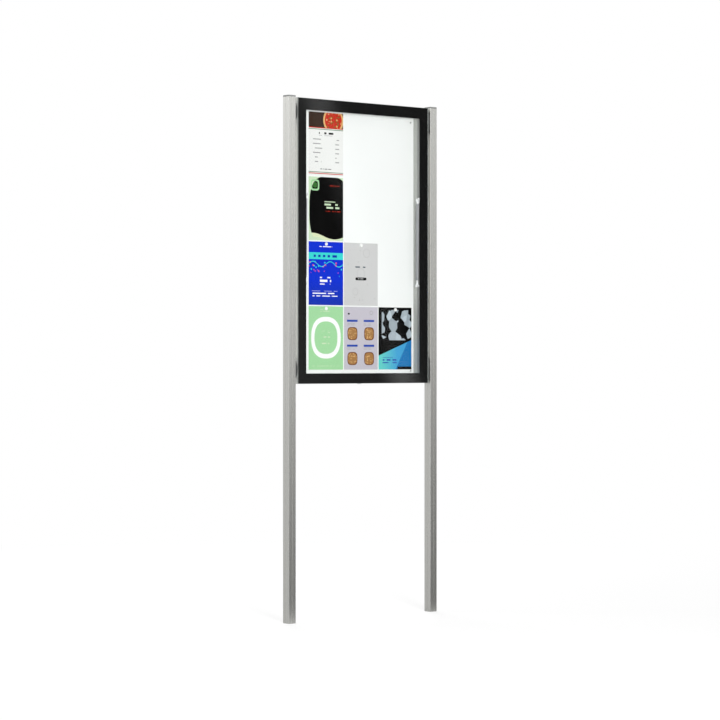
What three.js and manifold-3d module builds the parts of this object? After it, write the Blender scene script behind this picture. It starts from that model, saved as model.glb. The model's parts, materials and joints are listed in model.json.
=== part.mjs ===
// A lockable notice board: a glazed cabinet between two posts that are set in the ground.
// The glass door hangs from a hinge at the top, two gas struts hold it open, and a cam lock
// under the bottom rail shuts it. The board's front faces minus Y, Z is up, sizes are millimetres,
// and the origin is on the ground in the middle of the footprint.
import * as THREE from "three";
import { mergeVertices } from "three/addons/utils/BufferGeometryUtils.js";
import Module from "manifold-3d";

const wasm = await Module();
wasm.setup();

// Overall sizes
const overallHeight = 2440;
const cabinetDepth = 64;
const cabinetDrop = 8;
const seat = 0.3;
const weld = 0.001;
const overrun = 5;
const weldDepth = 1;

// Posts and their caps
const postWidth = 42;
const postDepth = 44;
const postWall = 2.5;
const postRadius = 2;
const postGap = 12.6;
const grooveWidth = 3;
const grooveDepth = 1;
const capHeight = 7;
const capBevel = 1;
const capPlug = 14;

// Spacer brackets between posts and cabinet, each with its bolt
const bracketHeight = 110;
const bracketArc = 72;
const bracketSetback = 1.5;
const bracketInset = 67;
const bracketRelief = 1.2;
const bracketPad = 14;
const boltRadius = 3;
const boltHeadRadius = 4.8;
const boltHeadHeight = 5;
const boltReach = 7;
const boltBehindFront = 37.2;

// Door: pane, border and frame
const glassThickness = 4;
const borderThickness = 0.8;
const borderTop = 54;
const borderSide = 53;
const borderBottom = 48;
const member = 48;
const profileWall = 2;
const doorFrameDepth = 21.5;
const mitreGap = 0.2;
const junctionGap = 1;

// Case: frame, seal, panel and rear cover
const caseWallDepth = 27.3;
const caseFrontWall = 4;
const sealInset = 38;
const sealWidth = 6;
const sealGroove = 2.2;
const panelThickness = 1.2;
const coverThickness = 1.5;
const coverRim = 8;
const cleatInset = 14;
const cleatWidth = 10;
const cleatArm = 60;
const screwHeadRadius = 4.5;
const screwHeadHeight = 2.2;
const screwRadius = 2;
const screwInsetSide = 18.6;
const screwInsetTop = 22;
const screwInsetBottom = 10.4;

// Hinge along the top
const hingeInset = 56;
const knuckleCount = 5;
const knuckleRadius = 4;
const pinRadius = 2;
const leafThickness = 1.5;
const leafBottom = 34;
const knuckleRecess = 1;

// Gas struts
const strutWallOffset = 8.8;
const strutUpperDrop = 446;
const strutLowerDrop = 858;
const strutUpperSetback = 13.1;
const strutLowerReach = 9.8;
const lugRadius = 7;
const lugThickness = 2;
const lugGrip = 12;
const ballRadius = 5;
const ballPlay = 0.5;
const neckRadius = 3;
const footRadius = 5.5;
const footThickness = 2;
const socketRadius = 7.5;
const socketLip = 3.6;
const socketShank = 18;
const socketShankRadius = 5;
const tubeRadius = 8;
const tubeWall = 1.2;
const tubeEnd = 3;
const glandLength = 8;
const strutRodRadius = 4;
const rodShown = 8;
const pistonLength = 10;

// Lock under the bottom rail and its keeper on the door
const lockBehindFront = 40.7;
const barrelRadius = 6;
const barrelFlange = 10;
const flangeThickness = 2.7;
const barrelHeight = 18;
const nutRadius = 8.6;
const nutHeight = 4;
const plugRadius = 4;
const keyWidth = 1.4;
const keyLength = 5.6;
const keyDepth = 5;
const camRadius = 8.5;
const camWidth = 8;
const camThickness = 2;
const camTab = 2.2;
const camTabHeight = 6.4;
const camPlay = 0.5;
const keeperWidth = 12;
const lipWidth = 10;
const keeperThickness = 2.5;
const lipThickness = 2.5;
const lipHover = 1.9;
const lipHeight = 9.5;
const keeperBaseWidth = 32;
const keeperBaseHeight = 28;
const keeperPassage = 1.5;

// Paper sheets on the panel. Each word is a row of the panel's grid, and o is a place left empty.
const sheetRows = ["xoo", "xoo", "xxo", "xxx"];
const sheetWidth = 210;
const sheetHeight = 297;
const sheetThickness = 0.4;
const sheetGapAcross = 6;
const sheetGapDown = 6;
const sheetLeftMargin = 61;
const sheetRightMargin = 13;
const sheetTopMargin = 6.5;
const sheetBottomMargin = 17.5;

// Depths from the front backwards
const front = -cabinetDepth / 2;
const glassBack = front + glassThickness;
const borderBack = glassBack + seat + borderThickness;
const doorFront = borderBack + seat;
const doorBack = doorFront + doorFrameDepth;
const caseFront = doorBack + junctionGap;
const panelSeat = caseFront + caseWallDepth;
const panelFront = panelSeat + seat;
const panelBack = panelFront + panelThickness;
const caseBack = cabinetDepth / 2;

// The cabinet is as large as its grid of sheets, the margins round it and the frame.
const rowCount = sheetRows.length;
const columnCount = sheetRows[0].length;
const gridWidth = columnCount * (sheetWidth + sheetGapAcross) - sheetGapAcross;
const gridHeight = rowCount * (sheetHeight + sheetGapDown) - sheetGapDown;
const cabinetWidth = gridWidth + sheetLeftMargin + sheetRightMargin + member + member;
const cabinetHeight = gridHeight + sheetTopMargin + sheetBottomMargin + member + member;
const hingeLength = cabinetWidth - hingeInset - hingeInset;

// Heights and half widths
const cabinetTop = overallHeight - cabinetDrop;
const cabinetBottom = cabinetTop - cabinetHeight;
const cabinetMiddle = (cabinetTop + cabinetBottom) / 2;
const halfWidth = cabinetWidth / 2;
const innerWall = halfWidth - member;
const postInner = halfWidth + postGap;
const postHeight = overallHeight - capHeight;
const postMiddle = front + postDepth / 2;

// Hinge axis and the rebate that its knuckles lie in
const hingeY = (doorBack + caseFront) / 2;
const hingeZ = cabinetTop - seat - knuckleRadius;
const rebate = knuckleRadius + knuckleRadius + seat + knuckleRecess;
const rebateReach = knuckleRadius + seat;
const leafReach = seat / 2 + leafThickness + seat;

const aluminium = { color: 0xc4c5c0, roughness: 0.4, metalness: 0.8 };
const finishes = {
  anodised: aluminium,
  cap: { color: 0x7d7f7e, roughness: 0.7, metalness: 0 },
  blackPlastic: { color: 0x232323, roughness: 0.6, metalness: 0 },
  steel: { color: 0xa8a9aa, roughness: 0.35, metalness: 1 },
  glass: { color: 0xdfe8e4, roughness: 0.05, metalness: 0, transparent: true, opacity: 0.25 },
  border: { color: 0x141414, roughness: 0.2, metalness: 0 },
  rubber: { color: 0x1c1c1c, roughness: 0.9, metalness: 0 },
  panel: { color: 0xf3f5f4, roughness: 0.4, metalness: 0 },
  cover: { color: 0xb9bbba, roughness: 0.5, metalness: 0.8 },
  chrome: { color: 0xe4e6e8, roughness: 0.15, metalness: 1 },
  tube: { color: 0x9a9ca0, roughness: 0.3, metalness: 0.9 },
  paper: { color: 0xe9ebe6, roughness: 0.9, metalness: 0 },
};

const group = new THREE.Group();

function assembly() {
  const part = new THREE.Group();
  group.add(part);
  return part;
}

function place(parent, name, geometry, finish) {
  const mesh = new THREE.Mesh(geometry, new THREE.MeshStandardMaterial(finishes[finish]));
  mesh.name = name;
  parent.add(mesh);
  return mesh;
}

// A closed geometry becomes a solid that can be joined and cut, and comes back as a geometry.
function solid(geometry) {
  const bare = geometry.index ? geometry.toNonIndexed() : geometry.clone();
  bare.deleteAttribute("normal");
  bare.deleteAttribute("uv");
  const welded = mergeVertices(bare, weld);
  const triVerts = new Uint32Array(welded.index.array);
  const vertProperties = welded.attributes.position.array;
  return new wasm.Manifold(new wasm.Mesh({ numProp: 3, vertProperties, triVerts }));
}

function joined(first, others) {
  return others.reduce((body, other) => body.add(solid(other)), first);
}

function cut(first, others) {
  return others.reduce((body, other) => body.subtract(solid(other)), first);
}

function geometryOf(body) {
  const mesh = body.getMesh();
  const geometry = new THREE.BufferGeometry();
  geometry.setAttribute("position", new THREE.BufferAttribute(new Float32Array(mesh.vertProperties), 3));
  geometry.setIndex(new THREE.BufferAttribute(new Uint32Array(mesh.triVerts), 1));
  geometry.computeVertexNormals();
  return geometry;
}

function block([x0, x1], [y0, y1], [z0, z1]) {
  const geometry = new THREE.BoxGeometry(x1 - x0, y1 - y0, z1 - z0);
  return geometry.translate((x0 + x1) / 2, (y0 + y1) / 2, (z0 + z1) / 2);
}

// Round bars along one axis, from one place on it to another, about a centre line.
function barX(radius, [x0, x1], y, z, sides = 24) {
  const geometry = new THREE.CylinderGeometry(radius, radius, x1 - x0, sides);
  return geometry.rotateZ(-Math.PI / 2).translate((x0 + x1) / 2, y, z);
}

function barY(radius, x, [y0, y1], z, sides = 24) {
  const geometry = new THREE.CylinderGeometry(radius, radius, y1 - y0, sides);
  return geometry.translate(x, (y0 + y1) / 2, z);
}

function barZ(radius, x, y, [z0, z1], sides = 24) {
  const geometry = new THREE.CylinderGeometry(radius, radius, z1 - z0, sides);
  return geometry.rotateX(Math.PI / 2).translate(x, y, (z0 + z1) / 2);
}

function outline(points) {
  return new THREE.Shape(points.map(([x, y]) => new THREE.Vector2(x, y)));
}

function hole(points) {
  return new THREE.Path(points.map(([x, y]) => new THREE.Vector2(x, y)));
}

function rectangle([x0, x1], [y0, y1]) {
  return hole([[x0, y0], [x1, y0], [x1, y1], [x0, y1]]);
}

// A range of places on one side: as given on the right, and mirrored on the left.
function onSide(sign, near, far) {
  return sign > 0 ? [near, far] : [-far, -near];
}

function extruded(shape, depth, curveSegments) {
  return new THREE.ExtrudeGeometry(shape, { depth, curveSegments, bevelEnabled: false });
}

// A flat ring that stands upright between two depths, with its own width at each side.
function uprightRing(inset, widths, yFront, yBack) {
  const half = halfWidth - inset;
  const low = cabinetBottom + inset;
  const high = cabinetTop - inset;
  const shape = outline([[-half, low], [half, low], [half, high], [-half, high]]);
  const inner = half - widths.side;
  shape.holes.push(rectangle([-inner, inner], [low + widths.bottom, high - widths.top]));
  return extruded(shape, yBack - yFront, 1).rotateX(Math.PI / 2).translate(0, yBack, 0);
}

// Posts
function postOutline(withGrooves) {
  const x = postWidth / 2;
  const y = postDepth / 2;
  const g = grooveWidth / 2;
  const r = postRadius;
  const d = withGrooves ? grooveDepth : 0;
  const shape = new THREE.Shape();
  shape.moveTo(-x + r, -y);
  if (withGrooves) notch(shape, [-g, -y], [0, d], [2 * g, 0]);
  shape.absarc(x - r, -y + r, r, -Math.PI / 2, 0);
  if (withGrooves) notch(shape, [x, -g], [-d, 0], [0, 2 * g]);
  shape.absarc(x - r, y - r, r, 0, Math.PI / 2);
  if (withGrooves) notch(shape, [g, y], [0, -d], [-2 * g, 0]);
  shape.absarc(-x + r, y - r, r, Math.PI / 2, Math.PI);
  if (withGrooves) notch(shape, [-x, g], [d, 0], [0, -2 * g]);
  shape.absarc(-x + r, -y + r, r, Math.PI, 1.5 * Math.PI);
  return shape;
}

function notch(shape, [x, y], [inX, inY], [alongX, alongY]) {
  shape.lineTo(x, y);
  shape.lineTo(x + inX, y + inY);
  shape.lineTo(x + inX + alongX, y + inY + alongY);
  shape.lineTo(x + alongX, y + alongY);
}

const boltY = front + boltBehindFront;
const bracketHeights = { lower: cabinetBottom + bracketInset, upper: cabinetTop - bracketInset };

function makePost(side, sign) {
  const part = assembly();
  const shape = postOutline(true);
  const x = postWidth / 2 - postWall;
  const y = postDepth / 2 - postWall;
  shape.holes.push(rectangle([-x, x], [-y, y]));
  const tube = extruded(shape, postHeight, 4);
  const reach = onSide(sign, -postWidth / 2 - overrun, -x + overrun);
  const heights = Object.values(bracketHeights);
  const drills = heights.map((z) => barX(boltRadius + seat, reach, boltY - postMiddle, z));
  place(part, `post_${side}`, geometryOf(cut(solid(tube), drills)), "anodised");

  const lid = new THREE.ExtrudeGeometry(postOutline(false), {
    depth: capHeight - seat - capBevel - capBevel,
    bevelThickness: capBevel,
    bevelSize: capBevel,
    bevelOffset: -capBevel,
    bevelSegments: 1,
    curveSegments: 4,
  });
  lid.translate(0, 0, postHeight + seat + capBevel);
  const plugX = x - seat;
  const plugY = y - seat;
  const plugZ = [postHeight - capPlug, postHeight + seat + capBevel];
  const plug = block([-plugX, plugX], [-plugY, plugY], plugZ);
  place(part, `post_cap_${side}`, geometryOf(joined(solid(lid), [plug])), "cap");
  part.position.set(sign * (postInner + postWidth / 2), postMiddle, 0);
}

// Spacer brackets: a D seen from the side, with a round pad where the bolt clamps the case
function makeBracket(side, sign, level, z) {
  const half = bracketHeight / 2;
  const centre = front + bracketSetback + bracketArc;
  const angle = Math.asin(half / bracketArc);
  const back = front + postDepth;
  const shape = new THREE.Shape();
  shape.moveTo(back, -half);
  shape.lineTo(back, half);
  shape.absarc(centre, 0, bracketArc, Math.PI - angle, Math.PI + angle, false);
  const near = halfWidth + seat + bracketRelief;
  const far = postInner - seat;
  const [x0, x1] = onSide(sign, near, far);
  const plate = extruded(shape, x1 - x0, 16);
  plate.rotateX(Math.PI / 2).rotateZ(Math.PI / 2).translate(x0, 0, z);
  const pad = barX(bracketPad / 2, onSide(sign, halfWidth + seat, near + bracketRelief), boltY, z);
  const drill = barX(boltRadius + seat, onSide(sign, halfWidth - overrun, postInner + overrun), boltY, z);
  const body = cut(joined(solid(plate), [pad]), [drill]);
  place(group, `bracket_${level}_${side}`, geometryOf(body), "blackPlastic");

  const headEnd = halfWidth - profileWall - seat;
  const headStart = headEnd - boltHeadHeight;
  const shankEnd = postInner + postWall + boltReach;
  const shank = barX(boltRadius, onSide(sign, headStart + weldDepth, shankEnd), boltY, z, 16);
  const head = barX(boltHeadRadius, onSide(sign, headStart, headEnd), boltY, z, 6);
  place(group, `bracket_bolt_${level}_${side}`, geometryOf(joined(solid(shank), [head])), "steel");
}

// Frame members. A section has x from the outer face inwards and y from front to back.
// The left member stands as it is drawn, and the others are that member turned.
function frameMember(section, across, span) {
  const geometry = extruded(section, span, 1);
  const points = geometry.attributes.position;
  for (let i = 0; i < points.count; i += 1) {
    const end = points.getZ(i) > 0 ? 1 : -1;
    points.setZ(i, end * (span / 2 - points.getX(i) - mitreGap));
  }
  return geometry.translate(-across / 2, 0, 0);
}

const turns = { left: 0, bottom: -Math.PI / 2, right: Math.PI, top: Math.PI / 2 };

function frameOf(prefix, sectionOf, finish, cutters, lugs) {
  const part = assembly();
  for (const [name, turn] of Object.entries(turns)) {
    const upright = name === "left" || name === "right";
    const across = upright ? cabinetWidth : cabinetHeight;
    const span = upright ? cabinetHeight : cabinetWidth;
    let geometry = frameMember(sectionOf(name === "top"), across, span);
    if (cutters[name]) {
      const local = cutters[name].map((cutter) => cutter.rotateY(-turn));
      const added = (lugs[name] ?? []).map((lug) => lug.rotateY(-turn));
      geometry = geometryOf(cut(joined(solid(geometry), added), local));
    }
    const mesh = place(part, `${prefix}_${name}`, geometry, finish);
    mesh.rotation.y = turn;
  }
  part.position.z = cabinetMiddle;
}

function doorSection(isTop) {
  const chamberFront = doorFront + profileWall;
  const far = member - profileWall;
  if (!isTop) {
    const plain = outline([[0, doorFront], [member, doorFront], [member, doorBack], [0, doorBack]]);
    plain.holes.push(rectangle([profileWall, far], [chamberFront, doorBack - profileWall]));
    return plain;
  }
  const leafPlane = hingeY - leafReach;
  const rebatePlane = hingeY - rebateReach;
  const step = rebate + profileWall;
  const section = outline([
    [0, doorFront],
    [member, doorFront],
    [member, doorBack],
    [leafBottom, doorBack],
    [leafBottom, leafPlane],
    [rebate, leafPlane],
    [rebate, rebatePlane],
    [0, rebatePlane],
  ]);
  const chamber = [
    [profileWall, chamberFront],
    [far, chamberFront],
    [far, leafPlane - profileWall],
    [step, leafPlane - profileWall],
    [step, rebatePlane - profileWall],
    [profileWall, rebatePlane - profileWall],
  ];
  section.holes.push(hole(chamber));
  return section;
}

function caseSection(isTop) {
  const leafPlane = hingeY + leafReach;
  const rebatePlane = hingeY + rebateReach;
  const groove = caseFront + sealGroove;
  const chamberFront = caseFront + caseFrontWall;
  const chamberBack = panelSeat - profileWall;
  const far = member - profileWall;
  const head = [
    [0, rebatePlane],
    [rebate, rebatePlane],
    [rebate, leafPlane],
    [leafBottom, leafPlane],
    [leafBottom, caseFront],
  ];
  const section = outline([
    ...(isTop ? head : [[0, caseFront]]),
    [sealInset, caseFront],
    [sealInset, groove],
    [sealInset + sealWidth, groove],
    [sealInset + sealWidth, caseFront],
    [member, caseFront],
    [member, panelSeat],
    [profileWall, panelSeat],
    [profileWall, caseBack],
    [0, caseBack],
  ]);
  const step = rebate + profileWall;
  const behindRebate = rebatePlane + profileWall;
  const chamberHead = [[profileWall, behindRebate], [step, behindRebate], [step, chamberFront]];
  const chamber = [
    ...(isTop ? chamberHead : [[profileWall, chamberFront]]),
    [far, chamberFront],
    [far, chamberBack],
    [profileWall, chamberBack],
  ];
  section.holes.push(hole(chamber));
  return section;
}

// Corner cleats lie in the case's chambers and tie two members together across their mitre.
function makeCleat(name, signX, signZ) {
  const near = cleatInset;
  const far = cleatInset + cleatWidth;
  const end = cleatArm;
  const shape = outline([[near, near], [end, near], [end, far], [far, far], [far, end], [near, end]]);
  const cleatFront = caseFront + caseFrontWall + seat;
  const cleatBack = panelSeat - profileWall - seat;
  const geometry = extruded(shape, cleatBack - cleatFront, 1).rotateX(Math.PI / 2);
  const lower = signX < 0 ? 0 : -Math.PI / 2;
  const upper = signX < 0 ? Math.PI / 2 : Math.PI;
  const mesh = place(group, name, geometry, "anodised");
  mesh.rotation.y = signZ < 0 ? lower : upper;
  mesh.position.set(signX * halfWidth, cleatBack, cabinetMiddle + (signZ * cabinetHeight) / 2);
}

// Panel screws hold the white panel to the rear cover.
const screwPlaces = {
  upper_left: [-innerWall + screwInsetSide, cabinetTop - member - screwInsetTop],
  upper_right: [innerWall - screwInsetSide, cabinetTop - member - screwInsetTop],
  lower_left: [-innerWall + screwInsetSide, cabinetBottom + member + screwInsetBottom],
  lower_right: [innerWall - screwInsetSide, cabinetBottom + member + screwInsetBottom],
};

function makePanels() {
  const through = [panelSeat, caseBack + overrun];
  const places = Object.values(screwPlaces);
  const drills = places.map(([x, z]) => barY(screwRadius + seat, x, through, z, 16));
  const edge = profileWall + seat;
  const x = halfWidth - edge;
  const z0 = cabinetBottom + edge;
  const z1 = cabinetTop - edge;
  const sheet = block([-x, x], [panelFront, panelBack], [z0, z1]);
  place(group, "back_panel", geometryOf(cut(solid(sheet), drills)), "panel");

  const tray = block([-x, x], [panelBack + seat, caseBack], [z0, z1]);
  const rim = coverRim;
  const hollowY = [panelBack, caseBack - coverThickness];
  const hollow = block([-x + rim, x - rim], hollowY, [z0 + rim, z1 - rim]);
  place(group, "rear_cover", geometryOf(cut(solid(tray), [hollow, ...drills])), "cover");

  for (const [name, [sx, sz]] of Object.entries(screwPlaces)) {
    const headBack = panelFront - seat;
    const profile = [
      [0, headBack - screwHeadHeight],
      [screwHeadRadius / 2, headBack - screwHeadHeight],
      [screwHeadRadius, headBack - screwHeadHeight / 2],
      [screwHeadRadius, headBack],
      [screwRadius, headBack],
      [screwRadius, caseBack - seat],
      [0, caseBack - seat],
    ];
    const screw = new THREE.LatheGeometry(profile.map(([r, y]) => new THREE.Vector2(r, y)), 16);
    place(group, `panel_screw_${name}`, screw.translate(sx, 0, sz), "steel");
  }
}

// Hinge: two leaves with knuckles in turn along one pin
function hingeLeaf(name, own, yNear, yFar) {
  const step = hingeLength / knuckleCount;
  const half = hingeLength / 2;
  const starts = Array.from({ length: knuckleCount }, (unused, i) => i * step - half);
  const spans = starts.map((start) => [start, start + step]);
  const plate = block([-half, half], [yNear, yFar], [cabinetTop - leafBottom + seat, hingeZ]);
  const mine = spans.filter((span, i) => i % 2 === own);
  const theirs = spans.filter((span, i) => i % 2 !== own);
  const knuckles = mine.map(([a, b]) => barX(knuckleRadius, [a + seat, b - seat], hingeY, hingeZ, 20));
  const rooms = theirs.map(([a, b]) => barX(knuckleRadius + seat, [a, b], hingeY, hingeZ, 20));
  const cleared = joined(cut(solid(plate), rooms), knuckles);
  const bore = barX(pinRadius + seat, [-half - overrun, half + overrun], hingeY, hingeZ, 16);
  return place(group, name, geometryOf(cut(cleared, [bore])), "anodised");
}

// Gas struts. Each is drawn upright along Z from its lower ball and then leaned to its upper ball.
const lowerBall = { y: caseFront - strutLowerReach, z: cabinetTop - strutLowerDrop };
const upperBall = { y: doorBack - strutUpperSetback, z: cabinetTop - strutUpperDrop };
const strutLength = Math.hypot(upperBall.y - lowerBall.y, upperBall.z - lowerBall.z);
const strutLean = Math.atan2(lowerBall.y - upperBall.y, upperBall.z - lowerBall.z);

const cavityRadius = ballRadius + ballPlay;

function ballStud(z, wall) {
  const neck = barX(neckRadius, [0, wall - weldDepth], 0, z, 16);
  const foot = barX(footRadius, [wall - footThickness, wall], 0, z, 20);
  const ball = new THREE.SphereGeometry(ballRadius, 20, 14).translate(0, 0, z);
  return geometryOf(joined(solid(ball), [neck, foot]));
}

function socket(z, stemEnds) {
  const cup = barX(socketRadius, [-socketRadius, socketLip], 0, z, 20);
  const stem = barZ(socketShankRadius, 0, 0, stemEnds, 16);
  const hollow = new THREE.SphereGeometry(cavityRadius, 20, 14).translate(0, 0, z);
  return geometryOf(cut(joined(solid(cup), [stem]), [hollow]));
}

// A body turned about Z, from its outline of radius and height
function turned(profile) {
  const geometry = new THREE.LatheGeometry(profile.map(([r, z]) => new THREE.Vector2(r, z)), 20);
  return geometry.rotateX(Math.PI / 2);
}

function makeStrut(side, sign) {
  const part = assembly();
  const shankTop = strutLength - socketShank;
  const cupLow = strutLength - cavityRadius;
  const railWall = strutWallOffset - seat;
  const lugWall = railWall - lugThickness - seat;
  const ends = [
    place(part, `strut_stud_upper_${side}`, ballStud(strutLength, railWall), "chrome"),
    place(part, `strut_stud_lower_${side}`, ballStud(0, lugWall), "chrome"),
    place(part, `strut_socket_upper_${side}`, socket(strutLength, [shankTop, cupLow]), "chrome"),
    place(part, `strut_socket_lower_${side}`, socket(0, [cavityRadius, socketShank]), "chrome"),
  ];
  for (const mesh of ends) mesh.rotation.z = sign > 0 ? 0 : Math.PI;

  const tubeLow = socketShank + rodShown;
  const tubeHigh = shankTop - seat;
  const glandTop = tubeLow + glandLength;
  const glandRadius = strutRodRadius + seat;
  const boreTop = tubeHigh - tubeEnd;
  const boreRadius = tubeRadius - tubeWall;
  const tube = [
    [0, boreTop],
    [boreRadius, boreTop],
    [boreRadius, glandTop],
    [glandRadius, glandTop],
    [glandRadius, tubeLow],
    [tubeRadius, tubeLow],
    [tubeRadius, tubeHigh],
    [0, tubeHigh],
  ];
  place(part, `strut_cylinder_${side}`, turned(tube), "tube");
  const rodTop = boreTop - seat;
  const pistonRadius = boreRadius - seat;
  const rod = [
    [0, socketShank + seat],
    [strutRodRadius, socketShank + seat],
    [strutRodRadius, rodTop - pistonLength],
    [pistonRadius, rodTop - pistonLength],
    [pistonRadius, rodTop],
    [0, rodTop],
  ];
  place(part, `strut_rod_${side}`, turned(rod), "chrome");
  part.rotation.x = strutLean;
  part.position.set(sign * (innerWall - strutWallOffset), lowerBall.y, lowerBall.z);
}

// Lock: a barrel through the bottom rail, with a plug that turns a cam behind the keeper's lip
const lockY = front + lockBehindFront;
const barrelTop = cabinetBottom + barrelHeight;
const camLow = barrelTop + seat + seat;
const camHigh = camLow + camThickness;
const lipLow = camHigh + lipHover;
const lipFront = lockY + camRadius + camPlay;
const tongueLow = lipLow + lipHeight;
const tongueHigh = tongueLow + keeperThickness;

function makeLock() {
  const flangeTop = cabinetBottom - seat;
  const flangeLow = flangeTop - flangeThickness;
  const flange = barZ(barrelFlange, 0, lockY, [flangeLow, flangeTop], 32);
  const body = barZ(barrelRadius, 0, lockY, [flangeLow, barrelTop], 32);
  const bore = barZ(plugRadius + seat, 0, lockY, [flangeLow - overrun, barrelTop + overrun], 24);
  place(group, "lock_barrel", geometryOf(cut(joined(solid(flange), [body]), [bore])), "chrome");

  const plug = barZ(plugRadius, 0, lockY, [flangeLow + seat, barrelTop + seat], 24);
  const halfKey = keyWidth / 2;
  const keyEnds = [lockY - keyLength / 2, lockY + keyLength / 2];
  const keyway = block([-halfKey, halfKey], keyEnds, [flangeLow - overrun, flangeLow + keyDepth]);
  place(group, "lock_plug", geometryOf(cut(solid(plug), [keyway])), "steel");

  const nutLow = cabinetBottom + profileWall + seat;
  const nut = barZ(nutRadius, 0, lockY, [nutLow, nutLow + nutHeight], 6);
  const thread = barZ(barrelRadius + seat, 0, lockY, [cabinetBottom, barrelTop], 32);
  place(group, "lock_nut", geometryOf(cut(solid(nut), [thread])), "steel");

  const camEdges = [lockY - camWidth / 2, lockY + camWidth / 2];
  const tabTop = camHigh + camTabHeight;
  const arm = block([-camRadius, 0], camEdges, [camLow, camHigh]);
  const tab = block([-camRadius, -camRadius + camTab], camEdges, [camLow, tabTop]);
  const hub = barZ(plugRadius, 0, lockY, [camLow, camHigh], 24);
  const round = barZ(camRadius, 0, lockY, [camLow, tabTop], 48);
  const cam = joined(solid(hub), [arm, tab]).intersect(solid(round));
  place(group, "lock_cam", geometryOf(cam), "steel");

  const baseBack = doorBack - profileWall - seat;
  const baseFront = baseBack - keeperThickness;
  const lipBack = lipFront + lipThickness;
  const tongueX = [-keeperWidth / 2, keeperWidth / 2];
  const tongue = block(tongueX, [baseFront, lipBack], [tongueLow, tongueHigh]);
  const lip = block([-lipWidth / 2, lipWidth / 2], [lipFront, lipBack], [lipLow, tongueHigh]);
  const baseX = [-keeperBaseWidth / 2, keeperBaseWidth / 2];
  const baseHigh = tongueHigh + profileWall;
  const base = block(baseX, [baseFront, baseBack], [baseHigh - keeperBaseHeight, baseHigh]);
  place(group, "lock_keeper", geometryOf(joined(solid(base), [tongue, lip])), "steel");
}

// What is cut out of the frames, about the middle of the cabinet
function middled(cutter) {
  return cutter.translate(0, 0, -cabinetMiddle);
}

function doorCutters() {
  const x = keeperWidth / 2 + seat;
  const y = [doorBack - profileWall - seat, doorBack + overrun];
  return { bottom: [middled(block([-x, x], y, [lipLow - seat, tongueHigh + seat]))] };
}

function caseCutters() {
  const x = keeperWidth / 2 + keeperPassage;
  const y = [caseFront - overrun, caseFront + caseFrontWall + seat];
  const passage = block([-x, x], y, [lipLow - seat, tongueHigh + keeperPassage]);
  const barrelEnds = [cabinetBottom - overrun, cabinetBottom + overrun];
  const barrelHole = barZ(barrelRadius + seat, 0, lockY, barrelEnds, 32);
  const sides = Object.fromEntries([["left", -1], ["right", 1]].map(([side, sign]) => {
    const reach = onSide(sign, halfWidth - overrun, halfWidth + overrun);
    const holes = Object.values(bracketHeights).map((z) => barX(boltRadius + seat, reach, boltY, z));
    const relief = block(
      onSide(sign, innerWall, halfWidth + overrun),
      [caseFront - overrun, hingeY + rebateReach],
      [cabinetTop - rebate, cabinetTop + overrun],
    );
    return [side, [...holes, relief].map(middled)];
  }));
  return { bottom: [passage, barrelHole].map(middled), ...sides };
}

// On each side wall of the case a lug reaches forward into the door and carries the strut's lower ball.
function caseLugs() {
  const { y, z } = lowerBall;
  const height = [z - lugRadius, z + lugRadius];
  const back = caseFront + lugGrip;
  return Object.fromEntries([["left", -1], ["right", 1]].map(([side, sign]) => {
    const plate = onSide(sign, innerWall - seat - lugThickness, innerWall - seat);
    const welded = onSide(sign, innerWall - seat - lugThickness, innerWall + weldDepth);
    const shapes = [
      barX(lugRadius, plate, y, z),
      block(plate, [y, back - seat], height),
      block(welded, [caseFront + seat, back], height),
    ];
    return [side, shapes.map(middled)];
  }));
}

for (const [side, sign] of [["left", -1], ["right", 1]]) {
  makePost(side, sign);
  for (const [level, z] of Object.entries(bracketHeights)) makeBracket(side, sign, level, z);
  makeStrut(side, sign);
  makeCleat(`case_cleat_upper_${side}`, sign, 1);
  makeCleat(`case_cleat_lower_${side}`, sign, -1);
}

frameOf("door_rail", doorSection, "anodised", doorCutters(), {});
frameOf("case_rail", caseSection, "anodised", caseCutters(), caseLugs());
makePanels();

const pane = block([-halfWidth, halfWidth], [front, glassBack], [cabinetBottom, cabinetTop]);
place(group, "door_glass", pane, "glass");
const borderWidths = { top: borderTop, side: borderSide, bottom: borderBottom };
place(group, "glass_border", uprightRing(0, borderWidths, glassBack + seat, borderBack), "border");
const strip = sealWidth - seat - seat;
const sealWidths = { top: strip, side: strip, bottom: strip };
const sealFront = doorBack + seat;
const sealBack = caseFront + sealGroove - seat;
place(group, "case_seal", uprightRing(sealInset + seat, sealWidths, sealFront, sealBack), "rubber");

hingeLeaf("hinge_leaf_door", 1, hingeY - seat / 2 - leafThickness, hingeY - seat / 2);
hingeLeaf("hinge_leaf_case", 0, hingeY + seat / 2, hingeY + seat / 2 + leafThickness);
place(group, "hinge_pin", barX(pinRadius, [-hingeLength / 2, hingeLength / 2], hingeY, hingeZ, 16), "steel");
makeLock();

const gridLeft = -innerWall + sheetLeftMargin;
const gridTop = cabinetTop - member - sheetTopMargin;
const sheetBack = panelFront - seat;
sheetRows.forEach((places, row) => {
  [...places].forEach((mark, column) => {
    if (mark !== "x") return;
    const x = gridLeft + column * (sheetWidth + sheetGapAcross);
    const z = gridTop - row * (sheetHeight + sheetGapDown);
    const sheet = block([x, x + sheetWidth], [sheetBack - sheetThickness, sheetBack], [z - sheetHeight, z]);
    place(group, `notice_sheet_row${row + 1}_column${column + 1}`, sheet, "paper");
  });
});

export default group;
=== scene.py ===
# Glazed notice board between two posts: fine pieces, finishes, printed sheets, studio and camera.
# Metres throughout. The board's front faces minus Y and the ground is at zero.
import bpy
import json
import math
from mathutils import Matrix, Vector


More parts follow.
